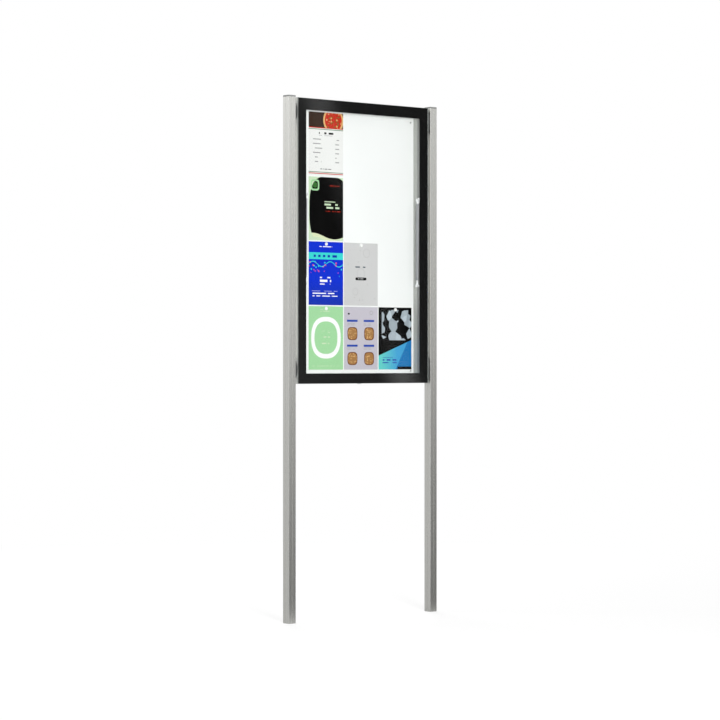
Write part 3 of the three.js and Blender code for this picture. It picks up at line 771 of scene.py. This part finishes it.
def turnedPiece(name, profile, foot=(0, 0, 0), direction=(0, 0, 1), steps=48):
    # a profile of (radius, height) points is spun about an axis that starts at the foot
    bpy.ops.object.select_all(action="DESELECT")
    bpy.ops.mesh.primitive_plane_add(size=meshCare["seedSize"], location=(0, 0, 0))
    piece = bpy.context.object
    piece.name = name
    bpy.ops.object.mode_set(mode="EDIT")
    bpy.ops.mesh.select_all(action="SELECT")
    bpy.ops.mesh.merge(type="CENTER")
    before = Vector((0, 0, 0))
    for index, (radius, height) in enumerate(profile):
        point = Vector((radius, 0, height))
        step = {"value": point - before}
        if index == 0:
            bpy.ops.transform.translate(**step)
        else:
            bpy.ops.mesh.extrude_region_move(TRANSFORM_OT_translate=step)
        before = point
    bpy.ops.mesh.select_all(action="SELECT")
    bpy.ops.mesh.spin(steps=steps, angle=math.tau, center=(0, 0, 0), axis=(0, 0, 1))
    bpy.ops.mesh.select_all(action="SELECT")
    bpy.ops.mesh.remove_doubles(threshold=meshCare["weld"])
    bpy.ops.mesh.normals_make_consistent(inside=False)
    bpy.ops.object.mode_set(mode="OBJECT")
    turn = Vector((0, 0, 1)).rotation_difference(Vector(direction))
    piece.data.transform(Matrix.Translation(foot) @ turn.to_matrix().to_4x4())
    smoothed(piece)
    return piece


def arcPoints(centre, radius, fromAngle, toAngle, count=5):
    # points of a profile's round corner, angles in degrees from straight outwards
    points = []
    for index in range(count + 1):
        angle = math.radians(fromAngle + (toAngle - fromAngle) * index / count)
        points.append((centre[0] + radius * math.cos(angle), centre[1] + radius * math.sin(angle)))
    return points


def cutBy(piece, cutter):
    applied(piece, "BOOLEAN", operation="DIFFERENCE", object=cutter, solver="EXACT")
    bpy.data.objects.remove(cutter, do_unlink=True)


# Frames, posts, brackets and fittings with softened edges

softEdges = {
    # how the nodes start: edge width in metres, segments
    "post_cap": (0.0009, 3),
    "post_left": (0.0003, 2),
    "post_right": (0.0003, 2),
    "bracket_upper": (0.0007, 3),
    "bracket_lower": (0.0007, 3),
    "case_rail": (0.00025, 2),
    "door_rail": (0.0003, 2),
    "rear_cover": (0.0006, 3),
    "back_panel": (0.0002, 2),
    "case_seal": (0.0006, 3),
    "hinge_leaf": (0.0003, 2),
    "hinge_pin": (0.0004, 3),
    "lock_barrel": (0.0004, 3),
    "lock_nut": (0.0005, 3),
    "lock_plug": (0.00025, 2),
    "lock_cam": (0.0004, 3),
    "lock_keeper": (0.0004, 3),
    "strut_stud": (0.0004, 3),
    "strut_socket": (0.0004, 3),
    "strut_rod": (0.0004, 3),
}

for nodeName in nodes:
    for start, (width, segments) in softEdges.items():
        if nodeName.startswith(start):
            fineCopy(nodeName, width, segments)
print("edges softened")


# Front glass with ground edges

glassPane = {"edge": 0.0005, "segments": 3, "flatNormal": 0.99}


def makePane():
    low, high = (Vector(corner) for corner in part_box("door_glass"))
    bpy.ops.mesh.primitive_cube_add(size=1, location=(low + high) / 2)
    pane = bpy.context.object
    pane.name = "door_glass_pane"
    pane.scale = high - low
    bpy.ops.object.transform_apply(location=True, rotation=True, scale=True)
    rounded(pane, glassPane["edge"], glassPane["segments"])
    setFinish(pane, finishes["glass"])
    pane.data.materials.append(finishes["glassEdge"])
    for face in pane.data.polygons:
        face.material_index = 0 if abs(face.normal.y) > glassPane["flatNormal"] else 1
    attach(pane, bodyOf["door_glass"])
    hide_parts("door_glass")


makePane()
print("pane made")


# Gas struts

strutShape = {
    "tubeRadius": 0.008,
    "tubeWall": 0.0012,
    "tubeFrom": 0.026,
    "tubeTo": 0.3937,
    "topWall": 0.003,
    "roll": 0.0024,
    "rollSteps": 6,
    "glandRadius": 0.0042,
    "glandDepth": 0.008,
    "groove": 0.0005,
    "grooveFrom": 0.037,
    "grooveTo": 0.039,
    "clipRadius": 0.0004,
    "clipTurn": 0.0077,
    "clipReach": 0.0006,
    "clipSteps": (48, 10),
}
basePlates = {  # a plated sheet on the case's lug, and one on the door's rail
    "lower": {"wall": 0.35567, "depth": 0.0264, "height": 0.0136, "back": 0.0071, "corner": 0.006},
    "upper": {"wall": 0.35797, "depth": 0.015, "height": 0.024, "back": 0.001, "corner": 0.004},
    "thickness": 0.0002,
    "cornerSteps": 6,
}
joints = {joint["name"]: joint for joint in frame["record"]["behaviour"]["joints"]}


def strutLine(side):
    # the lower ball and the way up to the upper ball, from the joints
    upperBall = Vector(joints["strut_tilt_" + side]["pos_m"])
    upward = -Vector(joints["strut_extend_" + side]["axis"]).normalized()
    low, high = (Vector(corner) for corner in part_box("strut_stud_lower_" + side))
    lowerHeight = (low.z + high.z) / 2
    length = (upperBall.z - lowerHeight) / upward.z
    return upperBall - upward * length, upward, length


def makeTube(side):
    facts = strutShape
    foot, upward = strutLine(side)[:2]
    outer = facts["tubeRadius"]
    inner = outer - facts["tubeWall"]
    roll = facts["roll"]
    low = facts["tubeFrom"]
    high = facts["tubeTo"]
    profile = [
        (0, high - facts["topWall"]),
        (inner, high - facts["topWall"]),
        (inner, low + facts["glandDepth"]),
        (facts["glandRadius"], low + facts["glandDepth"]),
        (facts["glandRadius"], low),
    ]
    profile += arcPoints((outer - roll, low + roll), roll, -90, 0, facts["rollSteps"])
    profile += [
        (outer, facts["grooveFrom"]),
        (outer - facts["groove"], facts["grooveFrom"] + facts["groove"]),
        (outer - facts["groove"], facts["grooveTo"] - facts["groove"]),
        (outer, facts["grooveTo"]),
    ]
    profile += arcPoints((outer - roll, high - roll), roll, 0, 90, facts["rollSteps"])
    profile += [(0, high)]
    tube = turnedPiece("strut_tube_" + side, profile, foot, upward)
    setFinish(tube, finishes["tube"])
    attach(tube, bodyOf["strut_cylinder_" + side])
    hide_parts("strut_cylinder_" + side)


def makeClip(nodeName, centre, inward):
    # spring wire round the socket's cup, which keeps it on the ball
    facts = strutShape
    turn = Vector((0, 0, 1)).rotation_difference(Vector((inward, 0, 0))).to_euler()
    place = centre + Vector((inward * facts["clipReach"], 0, 0))
    aroundSteps, wireSteps = facts["clipSteps"]
    bpy.ops.object.select_all(action="DESELECT")
    bpy.ops.mesh.primitive_torus_add(
        major_radius=facts["clipTurn"], minor_radius=facts["clipRadius"],
        major_segments=aroundSteps, minor_segments=wireSteps, location=place, rotation=turn,
    )
    clip = bpy.context.object
    clip.name = nodeName.replace("socket", "clip")
    bpy.ops.object.transform_apply(location=True, rotation=True, scale=True)
    smoothed(clip)
    setFinish(clip, finishes["steel"])
    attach(clip, bodyOf[nodeName])


def makeBasePlate(name, bodyName, level, ball, inward):
    # thin plated sheet under a ball stud's foot
    facts = basePlates[level]
    thickness = basePlates["thickness"]
    place = (-inward * (facts["wall"] - thickness / 2), ball.y + facts["back"], ball.z)
    bpy.ops.object.select_all(action="DESELECT")
    bpy.ops.mesh.primitive_cube_add(size=1, location=place)
    plate = bpy.context.object
    plate.name = name
    plate.scale = (thickness, facts["depth"], facts["height"])
    bpy.ops.object.transform_apply(location=True, rotation=True, scale=True)
    bpy.ops.object.mode_set(mode="EDIT")
    bpy.ops.mesh.select_mode(type="EDGE")
    bpy.ops.mesh.select_all(action="DESELECT")
    bpy.ops.object.mode_set(mode="OBJECT")
    for edge in plate.data.edges:
        ends = [plate.data.vertices[index].co for index in edge.vertices]
        edge.select = abs(ends[0].x - ends[1].x) > thickness / 2
    bpy.ops.object.mode_set(mode="EDIT")
    bpy.ops.mesh.bevel(offset=facts["corner"], segments=basePlates["cornerSteps"], affect="EDGES")
    bpy.ops.mesh.select_mode(type="VERT")
    bpy.ops.object.mode_set(mode="OBJECT")
    smoothed(plate)
    setFinish(plate, finishes["chrome"])
    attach(plate, bodyName)


for side, inward in (("left", 1), ("right", -1)):
    makeTube(side)
    foot, upward, length = strutLine(side)
    head = foot + upward * length
    makeClip("strut_socket_lower_" + side, foot, inward)
    makeClip("strut_socket_upper_" + side, head, inward)
    makeBasePlate("strut_plate_lower_" + side, bodyOf["case_rail_" + side], "lower", foot, inward)
    makeBasePlate("strut_plate_upper_" + side, bodyOf["door_rail_" + side], "upper", head, inward)
print("struts made")


# Panel screws: pan heads with a hexagon recess

screwShape = {
    "radius": 0.0045, "headHeight": 0.0022, "shank": 0.002, "rim": 0.0007,
    "recess": 0.0015, "recessDepth": 0.0012, "recessSides": 6, "dome": 0.0007,
    "rimTurn": 70, "rimSteps": 4, "turnSteps": 36, "domeRadiusShare": 0.5, "domeDropShare": 0.25,
}


def makeScrew(nodeName):
    facts = screwShape
    low, high = (Vector(corner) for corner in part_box(nodeName))
    foot = Vector(((low.x + high.x) / 2, high.y, (low.z + high.z) / 2))
    depth = high.y - low.y
    shoulder = depth - facts["dome"]
    headFoot = depth - facts["headHeight"]
    profile = [(0, 0), (facts["shank"], 0), (facts["shank"], headFoot), (facts["radius"], headFoot)]
    rim = facts["rim"]
    corner = (facts["radius"] - rim, shoulder - rim)
    profile += arcPoints(corner, rim, 0, facts["rimTurn"], facts["rimSteps"])
    domeRadius = facts["radius"] * facts["domeRadiusShare"]
    profile += [(domeRadius, depth - facts["dome"] * facts["domeDropShare"]), (0, depth)]
    screw = turnedPiece(nodeName + "_fine", profile, foot, (0, -1, 0), facts["turnSteps"])
    bpy.ops.mesh.primitive_cylinder_add(
        vertices=facts["recessSides"], radius=facts["recess"], depth=facts["recessDepth"] * 2,
        location=(foot.x, low.y, foot.z), rotation=(math.pi / 2, 0, 0),
    )
    cutBy(screw, bpy.context.object)
    smoothed(screw)
    setFinish(screw, finishes[slotOf[nodeName]])
    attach(screw, bodyOf[nodeName])
    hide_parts(nodeName)


for nodeName in nodes:
    if nodeName.startswith("panel_screw"):
        makeScrew(nodeName)
print("screws made")


# Magnets on the sheets

magnet = {
    "radius": 0.008, "depth": 0.005, "edge": 0.0012, "belowTop": 0.0105,
    "dishOuterShare": 0.62, "dishInnerShare": 0.56,
}


def makeMagnet(nodeName):
    low, high = (Vector(corner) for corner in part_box(nodeName))
    foot = ((low.x + high.x) / 2, low.y, high.z - magnet["belowTop"])
    edge = magnet["edge"]
    radius = magnet["radius"]
    depth = magnet["depth"]
    profile = [(0, 0), (radius - edge / 2, 0), (radius, edge / 2)]
    profile += arcPoints((radius - edge, depth - edge), edge, 0, 90)
    dish = depth - edge / 3
    profile += [(radius * magnet["dishOuterShare"], depth)]
    profile += [(radius * magnet["dishInnerShare"], dish), (0, dish)]
    piece = turnedPiece(nodeName.replace("notice_sheet", "magnet"), profile, foot, (0, -1, 0))
    setFinish(piece, finishes["magnet"])
    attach(piece, bodyOf[nodeName])


# these show no magnet
unpinned = ("notice_sheet_row1_column1", "notice_sheet_row2_column1", "notice_sheet_row4_column2")
for nodeName in nodes:
    if nodeName.startswith("notice_sheet") and nodeName not in unpinned:
        makeMagnet(nodeName)
print("magnets set")


# Studio

studio = {
    "worldFill": 0.47,
    # what metal mirrors at the horizon and higher up, and the heights between which it climbs
    "darkSide": (0.48, 0.72, 0.0, 0.08),
    "brightSide": (0.48, 1.15, 0.035, 0.158),
    # the darker side falls off rightwards
    "sideFrom": 0.5,
    "sideTo": 0.8,
    "sideLevels": (1.95, 0.25),
    "floorSize": 60.0,
    "floorGlow": 0.62,
    "floorDiffuse": 0.47,
    "floorMirrored": (0.09, 0.45),
    # metres from the middle between which the floor turns to plain white
    "floorFade": (1.5, 5.0),
    "floorBounce": (0.5, 0.5, 0.5, 1),
    # how far the brighter side reaches round the board, as shares of a direction
    "brightLeft": 0.35,
    "brightFade": (-0.35, 0.15),
}

windowPatch = {
    # degrees: the part of the studio that the front glass mirrors to the camera
    "azimuth": 40.75,
    "halfWidth": 1.8,
    "elevation": 2.75,
    "halfHeight": 3.6,
    "softEdge": 0.25,
    "darkLeft": (0.22, 0.06),
    "darkRight": 0.02,
    "strip": (1.15, 0.8),
    "stripAzimuth": 41.38,
    "stripLean": -0.302,
    "stripHalfWidth": 0.5,
}


def brightShare(tree, direction):
    # 1 behind the board and on its left, 0 in front of it on the right
    parts = addNode(tree, "ShaderNodeSeparateXYZ", {0: direction}).outputs
    leftwards = calc(tree, "SUBTRACT", calc(tree, "MULTIPLY", parts["X"], -1.0), studio["brightLeft"])
    reach = calc(tree, "MAXIMUM", parts["Y"], leftwards)
    start, end = studio["brightFade"]
    inputs = {"Value": reach, "From Min": start, "From Max": end}
    return addNode(tree, "ShaderNodeMapRange", inputs, interpolation_type="SMOOTHSTEP").outputs[0]


def softBox(tree, value, centre, half, soft):
    offset = calc(tree, "ABSOLUTE", calc(tree, "SUBTRACT", value, centre))
    inputs = {"Value": offset, "From Min": half - soft, "From Max": half + soft, "To Min": 1.0, "To Max": 0.0}
    return addNode(tree, "ShaderNodeMapRange", inputs).outputs[0]


def withPatch(tree, parts, level):
    # a dark patch with a slanting strip of light, so the black border stays dark and gleams once
    facts = windowPatch
    forward = calc(tree, "MULTIPLY", parts["Y"], -1.0)
    azimuth = calc(tree, "DEGREES", calc(tree, "ARCTAN2", parts["X"], forward))
    elevation = calc(tree, "DEGREES", calc(tree, "ARCSINE", parts["Z"]))
    cover = calc(
        tree, "MULTIPLY",
        softBox(tree, azimuth, facts["azimuth"], facts["halfWidth"], facts["softEdge"]),
        softBox(tree, elevation, facts["elevation"], facts["halfHeight"], facts["softEdge"]),
    )
    leaning = calc(tree, "MULTIPLY", elevation, facts["stripLean"])
    away = calc(tree, "ABSOLUTE", calc(
        tree, "SUBTRACT", azimuth, calc(tree, "ADD", leaning, facts["stripAzimuth"])))
    climbing = [
        addNode(tree, "ShaderNodeMapRange", {
            "Value": elevation, "From Min": facts["elevation"] - facts["halfHeight"],
            "From Max": facts["elevation"] + facts["halfHeight"], "To Min": low, "To Max": high,
        }).outputs[0]
        for low, high in (facts["darkLeft"], facts["strip"])
    ]
    left, strip = climbing
    dark = addNode(tree, "ShaderNodeMapRange", {
        "Value": azimuth, "From Min": facts["azimuth"] - facts["halfWidth"],
        "From Max": facts["azimuth"] + facts["halfWidth"], "To Min": left, "To Max": facts["darkRight"],
    }).outputs[0]
    inputs = {"Value": away, "From Max": facts["stripHalfWidth"], "To Min": strip, "To Max": dark}
    inner = addNode(tree, "ShaderNodeMapRange", inputs, interpolation_type="SMOOTHSTEP").outputs[0]
    outer = calc(tree, "SUBTRACT", 1.0, cover)
    return calc(tree, "ADD", calc(tree, "MULTIPLY", cover, inner), calc(tree, "MULTIPLY", outer, level))


def addWorld():
    # white where it is seen, and a quieter studio where it only lights or mirrors
    world = bpy.data.worlds.new("studio")
    world.use_nodes = True
    tree = world.node_tree
    tree.nodes.clear()
    path = addNode(tree, "ShaderNodeLightPath").outputs
    direction = addNode(tree, "ShaderNodeTexCoord").outputs["Generated"]
    parts = addNode(tree, "ShaderNodeSeparateXYZ", {0: direction}).outputs
    sides = []
    for low, high, start, end in (studio["darkSide"], studio["brightSide"]):
        inputs = {"Value": parts["Z"], "From Min": start, "From Max": end, "To Min": low, "To Max": high}
        sides.append(addNode(tree, "ShaderNodeMapRange", inputs).outputs[0])
    nearLevel, farLevel = studio["sideLevels"]
    fall = addNode(tree, "ShaderNodeMapRange", {
        "Value": parts["X"], "From Min": studio["sideFrom"], "From Max": studio["sideTo"],
        "To Min": nearLevel, "To Max": farLevel,
    }).outputs[0]
    bright = brightShare(tree, direction)
    dim = calc(tree, "MULTIPLY", calc(tree, "SUBTRACT", 1.0, bright), fall)
    climb = calc(tree, "ADD", calc(tree, "MULTIPLY", dim, sides[0]), calc(tree, "MULTIPLY", bright, sides[1]))
    seen = calc(tree, "MAXIMUM", path["Is Camera Ray"], path["Is Transmission Ray"])
    glossLevel = calc(tree, "MULTIPLY", path["Is Glossy Ray"], withPatch(tree, parts, climb))
    fillShare = calc(tree, "SUBTRACT", 1.0, path["Is Glossy Ray"])
    lit = calc(tree, "ADD", glossLevel, calc(tree, "MULTIPLY", fillShare, studio["worldFill"]))
    hidden = calc(tree, "SUBTRACT", 1.0, seen)
    strength = calc(tree, "ADD", seen, calc(tree, "MULTIPLY", hidden, lit))
    shader = addNode(tree, "ShaderNodeBackground", {"Color": (1, 1, 1, 1), "Strength": strength})
    addNode(tree, "ShaderNodeOutputWorld", {"Surface": shader.outputs[0]})
    bpy.context.scene.world = world


def addFloor():
    bpy.ops.mesh.primitive_plane_add(size=studio["floorSize"], location=(0, 0, 0))
    floor = bpy.context.object
    floor.name = "floor"
    material, tree = newTree("floor")
    path = addNode(tree, "ShaderNodeLightPath").outputs
    seen = calc(tree, "MAXIMUM", path["Is Camera Ray"], path["Is Transmission Ray"])
    place = addNode(tree, "ShaderNodeTexCoord").outputs["Object"]
    distance = addNode(tree, "ShaderNodeVectorMath", {0: place}, operation="LENGTH").outputs["Value"]
    start, end = studio["floorFade"]
    far = addNode(tree, "ShaderNodeMapRange", {
        "Value": distance, "From Min": start, "From Max": end,
        "To Min": studio["floorGlow"], "To Max": 1.0,
    }).outputs[0]
    nearness = calc(tree, "SUBTRACT", 1.0, far)
    near = calc(tree, "MULTIPLY", nearness, studio["floorDiffuse"] / (1 - studio["floorGlow"]))
    tone = mixColour(tree, near, (0, 0, 0, 1), (1, 1, 1, 1))
    shade = addNode(tree, "ShaderNodeBsdfDiffuse", {"Color": tone})
    glow = addNode(tree, "ShaderNodeEmission", {"Color": (1, 1, 1, 1), "Strength": far})
    shown = addNode(tree, "ShaderNodeAddShader", {0: shade.outputs[0], 1: glow.outputs[0]})
    plain = addNode(tree, "ShaderNodeBsdfDiffuse", {"Color": studio["floorBounce"]})
    mirrorLevel = spread(tree, brightShare(tree, place), *studio["floorMirrored"])
    mirrored = addNode(tree, "ShaderNodeEmission", {"Strength": mirrorLevel})
    unseen = addNode(tree, "ShaderNodeMixShader", {
        0: path["Is Glossy Ray"], 1: plain.outputs[0], 2: mirrored.outputs[0],
    })
    mix = addNode(tree, "ShaderNodeMixShader", {0: seen, 1: unseen.outputs[0], 2: shown.outputs[0]})
    addNode(tree, "ShaderNodeOutputMaterial", {"Surface": mix.outputs[0]})
    setFinish(floor, material)


lamps = {
    # name: place, aimed at, width, height, watts
    "frontLamp": ((0.0, -8.0, 2.1), (0, 0, 1.7), 4.0, 3.0, 15),
    "leftLamp": ((-4.35, -8.2, 1.9), (0, 0, 1.7), 1.6, 2.0, 650),
    "backLeftLamp": ((-4.6, 4.6, 2.6), (0, 0, 1.5), 2.6, 2.6, 120),
    "backRightLamp": ((3.0, 5.5, 4.0), (0, 0, 1.6), 3.0, 3.0, 150),
}


def addLamps():
    for name, (place, target, width, height, watts) in lamps.items():
        data = bpy.data.lights.new(name, "AREA")
        data.shape = "RECTANGLE"
        data.size = width
        data.size_y = height
        data.energy = watts
        lamp = bpy.data.objects.new(name, data)
        lamp.location = place
        aim = Vector(target) - Vector(place)
        lamp.rotation_euler = aim.to_track_quat("-Z", "Y").to_euler()
        lamp.visible_glossy = False
        bpy.context.scene.collection.objects.link(lamp)


addWorld()
addFloor()
addLamps()
bpy.context.scene.view_settings.view_transform = "Standard"
print("studio set")
